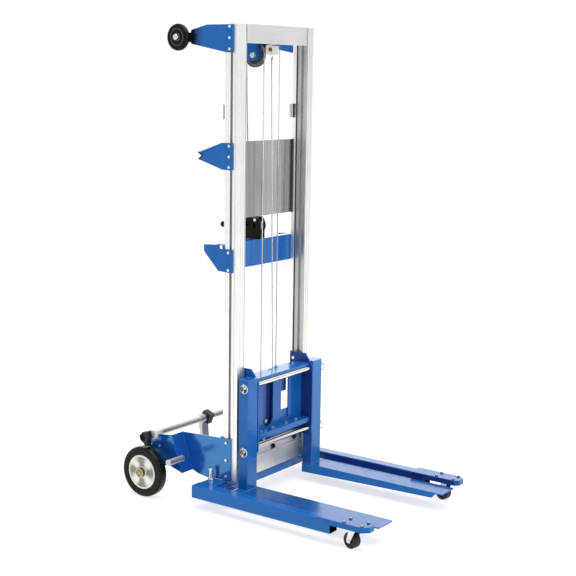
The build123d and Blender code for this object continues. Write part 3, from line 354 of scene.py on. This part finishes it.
def upward(m):
    """Mask: faces that look up, toned down to match the light in the photo."""
    geo = m.t.nodes.new("ShaderNodeNewGeometry")
    n = m.t.nodes.new("ShaderNodeSeparateXYZ")
    m.link(geo.outputs["Normal"], n.inputs[0])
    return m.remap(n.outputs[2], 0.6, 0.85, 0.0, 1.0)


def radius(m, cy, cz):
    """Distance from a cross axis at depth cy and height cz."""
    dy = m.math("SUBTRACT", m.axis(1), cy)
    dz = m.math("SUBTRACT", m.axis(2), cz)
    return m.math("SQRT", m.math("ADD", m.math("MULTIPLY", dy, dy), m.math("MULTIPLY", dz, dz)))


def rings(cy, cz, *spans):
    """Mask: inside any of the spans of radius round a cross axis."""
    def mask(m):
        r = radius(m, cy, cz)
        out = None
        for a, b in spans:
            k = m.math("MULTIPLY", m.math("GREATER_THAN", r, a), m.math("LESS_THAN", r, b))
            out = k if out is None else m.math("MAXIMUM", out, k)
        return out
    return mask


def either(*masks):
    def mask(m):
        out = masks[0](m)
        for k in masks[1:]:
            out = m.math("MAXIMUM", out, k(m))
        return out
    return mask


def both(*masks):
    def mask(m):
        out = masks[0](m)
        for k in masks[1:]:
            out = m.math("MULTIPLY", out, k(m))
        return out
    return mask


def above(i, limit):
    return lambda m: m.math("GREATER_THAN", m.axis(i), limit)


def below(i, limit):
    return lambda m: m.math("LESS_THAN", m.axis(i), limit)


def band(i, a, b):
    return lambda m: m.math("MULTIPLY", m.math("GREATER_THAN", m.axis(i), a), m.math("LESS_THAN", m.axis(i), b))


BLUE = dict(deep=(0.005, 0.087, 0.318), light=(0.007, 0.104, 0.366), edge=(0.05, 0.21, 0.54), tint=(0.20, 0.52, 1.0), coat=0.22)
# dark blue used below as painted shade on inward faces, pockets and gaps
SHADE_NAVY = (0.010, 0.030, 0.165)
BLACK = dict(deep=(0.004, 0.004, 0.0045), light=(0.007, 0.007, 0.0075), edge=(0.02, 0.02, 0.022), tint=(0.3, 0.3, 0.3), coat=0.03,
             gloss=(0.22, 0.36), spec=0.25)
DARK_STEEL = ((0.030, 0.028, 0.025), (0.060, 0.056, 0.050))
MAT = {
    "blue_paint": paint("blue_paint", **BLUE),
    "mast_aluminium": metal("mast_aluminium", (0.85, 0.845, 0.825), (0.93, 0.925, 0.905), (0.32, 0.46), (70, 70, 0.9), 0.6),
    "sheet_aluminium": metal("sheet_aluminium", (0.36, 0.36, 0.357), (0.54, 0.54, 0.535), (0.34, 0.48), (14, 14, 0.25), 0.85),
    # painted reflection: the lower rod turns brown towards the left; the rod ends beyond |x| 0.2655 are dark brown too
    "chrome": metal("chrome", (0.80, 0.78, 0.72), (0.90, 0.885, 0.84), (0.06, 0.16), (1.5, 70, 70), 0.5, 1.0, 0.03,
                    second=(either(beyond(0, 0.2655), both(below(2, 0.30), lambda m: m.remap(m.axis(0), -0.02, -0.17, 0.0, 0.30))),
                            (0.10, 0.075, 0.05), (0.20, 0.16, 0.12))),
    "zinc": metal("zinc", (0.56, 0.56, 0.55), (0.76, 0.76, 0.75), (0.20, 0.38), (60, 60, 60), 0.4),
    "wire_rope": rope("wire_rope"),
    "black_paint": paint("black_paint", **BLACK),
    "grey_steel": metal("grey_steel", (0.46, 0.46, 0.45), (0.60, 0.60, 0.585), (0.30, 0.44), (1.2, 80, 80), 0.6),
    "cast_rim": turned_rim("cast_rim", 0.466, 0.100),
    "tyre": rubber("tyre", (0.0030, 0.0028, 0.0026), (0.0060, 0.0056, 0.0052), (0.22, 0.34), 0.20, tint=(1.0, 0.90, 0.80)),
    "black_rubber": rubber("black_rubber", (0.003, 0.003, 0.003), (0.006, 0.006, 0.006), (0.20, 0.36), 0.28),
    "black_plastic": plastic("black_plastic", (0.007, 0.007, 0.007), (0.014, 0.013, 0.012), (0.26, 0.42), 700.0, 0.3),
    "white_plastic": plastic("white_plastic", (0.62, 0.61, 0.57), (0.72, 0.71, 0.67)),
    "cap_brass": metal("cap_brass", (0.50, 0.41, 0.25), (0.68, 0.59, 0.40), (0.26, 0.42), (50, 50, 50), 0.4,
                       second=(rings(0.466, 0.100, (0.0047, 0.0088), (0.0112, 0.0148), (0.0188, 0.03)), (0.14, 0.09, 0.035), (0.24, 0.17, 0.08))),
    # nodes whose colour changes by place: a second finish on some, painted shade, painted light and painted highlights
    # on others
    "frame_bolts": metal("frame_bolts", (0.70, 0.70, 0.69), (0.88, 0.88, 0.87), (0.20, 0.36), (60, 60, 60), 0.4,
                         second=(either(lambda m: m.math("MULTIPLY", below(1, -0.40)(m), 0.70), both(above(1, 0.28), above(2, 1.7))), *DARK_STEEL)),
    "carriage_bolts": metal("carriage_bolts", (0.66, 0.66, 0.65), (0.84, 0.84, 0.83), (0.20, 0.36), (60, 60, 60), 0.4,
                            second=(both(band(2, 0.170, 0.254), above(0, -0.060)), *DARK_STEEL)),
    "cable_anchor": metal("cable_anchor", (0.76, 0.74, 0.70), (0.90, 0.885, 0.86), (0.28, 0.44), (60, 60, 60), 0.5,
                          second=(below(1, 0.1469), (0.10, 0.085, 0.05), (0.20, 0.17, 0.10))),
    # painted shade: the pale faces of the pads are darker on the near side (x < 0)
    "stop_pads": metal("stop_pads", (0.006, 0.006, 0.006), (0.012, 0.012, 0.012), (0.36, 0.5), (60, 60, 60), 0.4, 0.0,
                       second=(both(above(1, 0.1635), above(2, 1.45)), lambda m: m.mix(below(0, 0.0)(m), (0.50, 0.50, 0.52), (0.22, 0.22, 0.225)),
                               lambda m: m.mix(below(0, 0.0)(m), (0.66, 0.66, 0.68), (0.30, 0.30, 0.31)))),
    # painted shade: inward faces and faces turned away are darker
    "inner_columns": metal("inner_columns", (0.85, 0.845, 0.825), (0.93, 0.925, 0.905), (0.32, 0.46), (70, 70, 0.9), 0.6,
                           second=(either(inward, away), (0.45, 0.45, 0.43), (0.56, 0.56, 0.54))),
    "load_wheel_arms": paint("load_wheel_arms", **BLACK, bare=beyond(0, 0.2715)),
    # painted shade: the front of the cheeks darkens to near black
    "upper_sheave_bracket": paint("upper_sheave_bracket", **BLUE, bare=beyond(0, 0.0141, -0.028),
                                  shade=[(lambda m: m.remap(m.axis(1), 0.160, 0.184, 1.0, 0.0), (0.004, 0.010, 0.050))]),
    # painted highlights: light rings on the black sheave
    "upper_sheave": metal("upper_sheave", (0.010, 0.010, 0.011), (0.022, 0.022, 0.023), (0.24, 0.40), (60, 60, 60), 0.4, 0.3,
                          second=(rings(0.192, 1.713, (0.0340, 0.0352), (0.0390, 0.0402), (0.0450, 0.05)), (0.26, 0.26, 0.26), (0.44, 0.44, 0.43))),
    # painted shade: the pocket behind the opening and the strip below the lower flange are navy
    "carriage_front_plate": paint("carriage_front_plate", **BLUE, shade=[
        (either(both(above(1, 0.1085), below(2, 0.4915)), both(band(1, 0.090, 0.1085), below(2, 0.2675))), SHADE_NAVY)]),
    # the grey hub is its own colour; the grey ring at 29-34 mm is a painted highlight
    "load_wheels": rubber("load_wheels", (0.002, 0.002, 0.002), (0.004, 0.004, 0.004), (0.14, 0.26), 0.14,
                          second=(rings(0.377, 1.774, (0.0, 0.0155), (0.0290, 0.0340)), (0.10, 0.10, 0.105))),
    "bracket_paint": paint("bracket_paint", (0.006, 0.060, 0.300), (0.008, 0.072, 0.345), (0.05, 0.21, 0.54), (0.19, 0.62, 1.0), 0.16,
                           (0.10, 0.18), spec=1.0, ior=1.95),
    # painted shade: darker top of the left leg, navy inward faces, near black inside the leg tubes
    "leg_paint": paint("leg_paint", **BLUE, shade=[(both(upward, above(0, 0.0)), (0.004, 0.060, 0.225)), (inward, SHADE_NAVY), (
        both(band(2, 0.0445, 0.0895), lambda m: m.math("LESS_THAN", m.math("ABSOLUTE", m.math("SUBTRACT", m.math("ABSOLUTE", m.axis(0)), 0.336)), 0.0225)),
        (0.002, 0.002, 0.003))]),
    # painted shade: darker tops, and a navy line along the tines' outer edges
    "tine_paint": paint("tine_paint", **{**BLUE, "coat": 0.10}, ior=1.46, shade=[(upward, (0.004, 0.060, 0.225)), (both(beyond(0, 0.2735), above(2, 0.0690)), SHADE_NAVY)]),
    # painted shade: the bracket tips darken to near black by the load wheels
    "tip_paint": paint("tip_paint", **BLUE, shade=[(lambda m: m.remap(m.axis(1), 0.272, 0.318, 0.0, 1.0), (0.004, 0.006, 0.018))]),
    # painted shade: faces turned away and faces to the forks are darker
    "outer_columns": metal("outer_columns", (0.92, 0.915, 0.90), (0.98, 0.975, 0.96), (0.32, 0.46), (70, 70, 0.9), 0.6,
                           second=(either(away, forward), (0.54, 0.54, 0.525), (0.66, 0.66, 0.645))),
    # painted shade: darker tops and navy inward faces
    "sheltered": paint("sheltered", **{**BLUE, "coat": 0.10}, ior=1.46, shade=[(upward, (0.004, 0.060, 0.225)), (inward, SHADE_NAVY)]),
    # painted shade on inward faces; painted light on the front face of the far (x > 0) post
    "post_paint": paint("post_paint", **BLUE, shade=[(inward, (0.005, 0.045, 0.215)), (both(above(0, 0.0), below(1, 0.0465)), (0.016, 0.118, 0.335))]),
    # painted shade: a dark band near the top of the cross tube beyond |x| 0.24, under the wheel brackets
    "tube_paint": paint("tube_paint", **BLUE, shade=[(both(band(2, 0.0795, 0.0885), beyond(0, 0.2400)), (0.012, 0.030, 0.180))]),
    "crossbar": metal("crossbar", (0.72, 0.715, 0.705), (0.81, 0.805, 0.795), (0.34, 0.48), (0.9, 70, 70), 0.6),
    # painted light: the plate grows lighter towards +x
    "rear_plate": metal("rear_plate", (0.27, 0.27, 0.267), (0.405, 0.405, 0.40), (0.34, 0.48), (14, 14, 0.25), 0.85,
                        second=(lambda m: m.remap(m.axis(0), -0.10, 0.085, 0.0, 1.0), (0.44, 0.44, 0.436), (0.66, 0.66, 0.653))),
    "cream_plate": metal("cream_plate", (0.72, 0.70, 0.64), (0.84, 0.82, 0.77), (0.36, 0.50), (1.0, 60, 60), 0.5),
    # painted shade: near-black shaft ends beyond |x| 0.3632, where the shaft enters the brake blocks
    "pale_steel": metal("pale_steel", (0.50, 0.485, 0.455), (0.63, 0.615, 0.58), (0.32, 0.46), (60, 60, 2.0), 0.5,
                        second=(beyond(0, 0.3632), (0.008, 0.008, 0.008), (0.016, 0.015, 0.014))),
}

SLOT = {s["node"]: s["material_slot"] for s in frame["record"]["subparts"]}
OVERRIDE = {
    "frame_bolts": "frame_bolts", "carriage_bolts": "carriage_bolts", "cable_anchor": "cable_anchor", "stop_pads": "stop_pads",
    "load_wheel_arms": "load_wheel_arms", "upper_sheave_bracket": "upper_sheave_bracket", "inner_crossbar": "crossbar",
    "carriage_lower_plate": "cream_plate", "brake_pedal": "pale_steel", "brake_shaft": "pale_steel",
    "inner_columns": "inner_columns", "carriage_front_plate": "carriage_front_plate", "legs": "leg_paint",
    "fork_tines": "tine_paint", "top_brackets": "tip_paint", "caster_plates": "sheltered", "outer_columns": "outer_columns",
    "upper_sheave": "upper_sheave", "load_wheel_right": "load_wheels", "load_wheel_left": "load_wheels", "wheel_brackets": "bracket_paint",
    "rear_plate": "rear_plate", "carriage_sides": "sheltered", "fork_posts": "post_paint", "rear_cross_tube": "tube_paint",
}
BEVEL = {
    "legs": 1.2, "rear_cross_tube": 1.2, "caster_plates": 1.2, "wheel_brackets": 1.2, "top_brackets": 1.2,
    "mid_brackets": 1.2, "winch_brackets": 1.0, "winch_beam": 1.0, "upper_sheave_bracket": 1.0,
    "carriage_sides": 1.2, "carriage_front_plate": 1.0, "fork_posts": 1.0, "fork_tines": 1.2,
    "outer_columns": 0.5, "inner_columns": 0.5, "inner_crossbar": 0.8, "rear_plate": 0.6, "carriage_lower_plate": 1.0,
    "frame_bolts": 0.8, "carriage_bolts": 0.8, "brake_blocks": 2.0, "brake_pedal": 1.0, "winch_frame": 0.8,
    "crank": 1.0, "stop_bars": 1.5, "stop_pads": 0.8, "slide_blocks": 1.0, "load_wheel_arms": 0.8,
    "cable_anchor": 0.6, "caster_mounts": 0.8, "outer_top_beam": 0.8, "inner_bottom_plate": 1.0, "brake_bearings": 1.5,
    "caster_yoke_right": 0.6, "caster_yoke_left": 0.6, "rear_rim_right": 1.0, "rear_rim_left": 1.0,
    "load_wheel_right": 0.8, "load_wheel_left": 0.8, "hub_caps": 0.8,
}


def dress(name, ob):
    ob.data.materials.clear()
    ob.data.materials.append(MAT[OVERRIDE.get(name, SLOT[name])])
    if name in BEVEL:
        weld = ob.modifiers.new("weld", "WELD")
        weld.merge_threshold = 2e-6
        flat = ob.modifiers.new("flat", "DECIMATE")
        flat.decimate_type = "DISSOLVE"
        flat.angle_limit = math.radians(0.5)
        bev = ob.modifiers.new("bevel", "BEVEL")
        bev.width = BEVEL[name] / 1000.0
        bev.segments = 2
        bev.limit_method = "ANGLE"
        bev.angle_limit = math.radians(36)
        bev.use_clamp_overlap = True
        bev.miter_outer = "MITER_ARC"
        bev.harden_normals = False
        wn = ob.modifiers.new("normals", "WEIGHTED_NORMAL")
        wn.keep_sharp = False
        wn.weight = 50


for name, ob in N.items():
    dress(name, ob)

# ------------------------------------------------------------------ pieces built here
MY = 106.0      # depth of the mast's front plane; the points below count from it, in mm


def mm(x, y, z):
    return Vector((x / 1000.0, (y + MY) / 1000.0, z / 1000.0))


def piece(name, verts, faces, material, slot):
    me = bpy.data.meshes.new(name)
    me.from_pydata([tuple(v) for v in verts], [], faces)
    me.polygons.foreach_set("use_smooth", [True] * len(me.polygons))
    bm = bmesh.new()
    bm.from_mesh(me)
    bmesh.ops.recalc_face_normals(bm, faces=bm.faces)
    bm.to_mesh(me)
    bm.free()
    me.materials.append(MAT[material])
    ob = bpy.data.objects.new(name, me)
    scene.collection.objects.link(ob)
    return ob


def tube(path, radius, sides=30, lobes=6, depth=0.09, up=Vector((1, 0, 0))):
    """Rings of a lobed strand bundle along the path, capped at both ends."""
    verts, faces = [], []
    n = len(path)
    for i, p in enumerate(path):
        a, b = path[max(i - 1, 0)], path[min(i + 1, n - 1)]
        if i == 0 or i == n - 1 or (path[i] - a).length < 0.3 > 0 and (b - path[i]).length < 0.3:
            t = (b - a).normalized()
        else:
            # next to a long straight run the ring stands square to the bend
            near = a if (path[i] - a).length < (b - path[i]).length else b
            t = (path[i] - near).normalized() if near is a else (near - path[i]).normalized()
        e1 = (up - t * up.dot(t)).normalized()
        e2 = t.cross(e1)
        r_here = radius[i] if isinstance(radius, (list, tuple)) else radius
        for k in range(sides):
            w = 2 * math.pi * k / sides
            r = r_here * (1.0 - depth + depth * abs(math.cos(lobes * w / 2.0)) * 2.0 - depth) if lobes else r_here
            verts.append(p + e1 * (r * math.cos(w)) + e2 * (r * math.sin(w)))
    for i in range(n - 1):
        for k in range(sides):
            j = (k + 1) % sides
            faces.append((i * sides + k, i * sides + j, (i + 1) * sides + j, (i + 1) * sides + k))
    faces.append(tuple(range(sides - 1, -1, -1)))
    faces.append(tuple((n - 1) * sides + k for k in range(sides)))
    return verts, faces


ROPE = 2.5
# winch rope: drum, over the upper sheave
arc = [mm(-28, 86 + 42 * math.cos(a), 1713 + 42 * math.sin(a)) for a in [math.pi * k / 24 for k in range(25)]]
hoist = piece("hoist_rope", *tube([mm(-9.5, 124.4, 1060)] + arc + [mm(-28, 44, 1712.9)], ROPE / 1000), "wire_rope", "wire_rope")
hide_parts("hoist_cable")
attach(hoist, "base")

# lift rope: down to the inner mast's lower sheave, round it, up to the dead end
arc = [mm(13.5 - 41.5 * math.cos(a), 44, 215 - 41.5 * math.sin(a)) for a in [math.pi * k / 28 for k in range(29)]]
lift = piece("lift_rope", *tube([mm(-28, 44, 1712.8)] + arc + [mm(20, 44, 1697.8)], ROPE / 1000, up=Vector((0, 1, 0))), "wire_rope", "wire_rope")
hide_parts("lift_cable")
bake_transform(lift)

# carriage rope: over the top sheave, down to the carriage
carry = piece("carriage_rope", *tube([mm(38, 20, 1788), mm(38, 20, 512.2)], 0.002), "wire_rope", "wire_rope")
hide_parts("carriage_cable")
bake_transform(carry)
arc = [mm(38, 35 + 15 * math.cos(a), 1788.1 + 15 * math.sin(a)) for a in [math.pi * k / 18 for k in range(19)]]
back = piece("return_rope", *tube([mm(38, 50, 1766.1)] + arc, 0.002), "wire_rope", "wire_rope")
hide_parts("return_cable")
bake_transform(back)


# weld beads: overlapping ripples along a seam
def beads(name, seams, radius, body):
    verts, faces = [], []
    for k, seam in enumerate(seams):
        pts, radii = [], []
        for a, b in zip(seam[:-1], seam[1:]):
            steps = max(2, int((b - a).length / 0.0014))
            for i in range(steps + (1 if b is seam[-1] else 0)):
                pts.append(a.lerp(b, i / steps))
        for i in range(len(pts)):
            wobble = 0.10 * math.sin(0.37 * i + k) + 0.05 * math.sin(0.11 * i + 2.1 * k)
            radii.append(radius * (0.88 + 0.12 * abs(math.sin(0.7 * i)) + 0.6 * wobble))
        radii[0] = radii[-1] = radius * 0.35
        v, f = tube(pts, radii, sides=10, lobes=0, up=Vector((0.31, 0.22, 0.92)))
        faces += [tuple(i + len(verts) for i in q) for q in f]
        verts += v
    ob = piece(name, verts, faces, "blue_paint", "blue_paint")
    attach(ob, body)
    return ob


seams = []
for s in (-1, 1):
    seams.append([mm(s * 187, -16, 76), mm(s * 183, -20, 76), mm(s * 183, -56, 76), mm(s * 187, -60, 76), mm(s * 243, -60, 76),
                  mm(s * 247, -56, 76), mm(s * 247, -20, 76), mm(s * 243, -16, 76)])
    seams.append([mm(s * 180, -64, 75.6), mm(s * 275, -64, 75.6)])
beads("post_welds", seams, 0.0020, "carriage")
seams = []
for s in (-1, 1):
    seams.append([mm(s * 311, 44, 88), mm(s * 311, 44, 46)])
    seams.append([mm(s * 299, -460, 92), mm(s * 359, -460, 92)])
    seams.append([mm(s * 361, -462, 92), mm(s * 361, -513, 92)])
    tx, tz = 234.2, 160.1
    for e in (-5.5, 5.5):
        seams.append([mm(s * 293, tx + 0.351 * e - 1.0, tz + 0.936 * e), mm(s * 303, tx + 0.351 * e - 1.0, tz + 0.936 * e)])
beads("frame_welds", seams, 0.0024, "base")


# rubber lining in the notch of each middle bracket
def lining():
    verts, faces = [], []
    line = [(190.5, 1350.5), (170.5, 1340.0), (168.2, 1338.9), (170.2, 1337.6), (187.0, 1324.6)]
    for s in (-1, 1):
        outer, inner = [], []
        for i, (y, z) in enumerate(line):
            a, b = line[max(i - 1, 0)], line[min(i + 1, len(line) - 1)]
            d = Vector((b[0] - a[0], b[1] - a[1])).normalized()
            nrm = Vector((-d.y, d.x))
            inner.append((y + nrm.x * 1.6, z + nrm.y * 1.6))
            outer.append((y - nrm.x * 2.6, z - nrm.y * 2.6))
        base = len(verts)
        n = len(line)
        for x in (234.2, 242.8):
            verts += [mm(s * x, y, z) for y, z in inner] + [mm(s * x, y, z) for y, z in outer]
        for i in range(n - 1):
            a, b, c, d = i, i + 1, n + i + 1, n + i
            faces.append(tuple(base + q for q in (a, b, c, d)))
            faces.append(tuple(base + 2 * n + q for q in (d, c, b, a)))
            faces.append(tuple(base + q for q in (a, 2 * n + a, 2 * n + b, b)))
            faces.append(tuple(base + q for q in (d, c, 2 * n + c, 2 * n + d)))
        faces.append(tuple(base + q for q in (0, n, 3 * n, 2 * n)))
        faces.append(tuple(base + q for q in (n - 1, 3 * n - 1, 4 * n - 1, 2 * n - 1)))
    ob = piece("notch_lining", verts, faces, "black_rubber", "black_rubber")
    bev = ob.modifiers.new("bevel", "BEVEL")
    bev.width = 0.0007
    bev.segments = 2
    bev.angle_limit = math.radians(35)
    wn = ob.modifiers.new("normals", "WEIGHTED_NORMAL")
    wn.keep_sharp = False
    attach(ob, "base")


lining()


# ------------------------------------------------------------------ floor and light
def floor():
    bm = bmesh.new()
    bmesh.ops.create_grid(bm, x_segments=2, y_segments=2, size=16.0)
    me = bpy.data.meshes.new("floor")
    bm.to_mesh(me)
    bm.free()
    ob = bpy.data.objects.new("floor", me)
    scene.collection.objects.link(ob)
    m = Tree("floor_paper")
    m.color(m.mix(m.remap(m.noise(0.8, 2.0), 0.3, 0.7, 0.0, 1.0), (0.40, 0.40, 0.40), (0.42, 0.42, 0.42)))
    m.rough(m.remap(m.noise(20.0, 2.0), 0.3, 0.7, 0.85, 0.95))
    m.set(Emission_Color=(1.0, 1.0, 1.0, 1.0), Emission_Strength=0.66, Specular_IOR_Level=0.1)
    me.materials.append(m.mat)


floor()

world = bpy.data.worlds.new("studio")
scene.world = world
world.use_nodes = True
wt = world.node_tree
bg = wt.nodes["Background"]
tc = wt.nodes.new("ShaderNodeTexCoord")
dot = wt.nodes.new("ShaderNodeVectorMath")
dot.operation = "DOT_PRODUCT"
dot.inputs[1].default_value = (0.45, 0.85, 0.30)
wt.links.new(tc.outputs["Generated"], dot.inputs[0])
ramp = wt.nodes.new("ShaderNodeMapRange")
ramp.inputs["From Min"].default_value = -0.6
ramp.inputs["From Max"].default_value = 0.7
ramp.inputs["To Min"].default_value = 0.56
ramp.inputs["To Max"].default_value = 1.06
wt.links.new(dot.outputs["Value"], ramp.inputs["Value"])
bg.inputs[0].default_value = (1.0, 1.0, 1.0, 1.0)
wt.links.new(ramp.outputs[0], bg.inputs[1])
# the backdrop itself is plain white on every side
plain = wt.nodes.new("ShaderNodeBackground")
plain.inputs[0].default_value = (1.0, 1.0, 1.0, 1.0)
plain.inputs[1].default_value = 1.06
path = wt.nodes.new("ShaderNodeLightPath")
pick = wt.nodes.new("ShaderNodeMixShader")
wt.links.new(path.outputs["Is Camera Ray"], pick.inputs[0])
wt.links.new(bg.outputs[0], pick.inputs[1])
wt.links.new(plain.outputs[0], pick.inputs[2])
wt.links.new(pick.outputs[0], wt.nodes["World Output"].inputs[0])


def area(name, loc, target, size, power, colour=(1, 1, 1)):
    d = bpy.data.lights.new(name, "AREA")
    d.shape = "RECTANGLE"
    d.size, d.size_y = size
    d.energy = power
    d.color = colour
    o = bpy.data.objects.new(name, d)
    scene.collection.objects.link(o)
    o.location = loc
    o.rotation_mode = "QUATERNION"
    o.rotation_quaternion = (Vector(target) - Vector(loc)).to_track_quat("-Z", "Y")


area("overhead", (-0.4, -0.8, 4.4), (0, 0, 0.4), (3.4, 3.4), 150)
area("front", (-0.6, -4.6, 2.6), (0, 0, 0.8), (2.6, 2.2), 84)
area("back", (3.6, 2.6, 1.9), (0, -0.2, 0.1), (3.6, 2.2), 26)
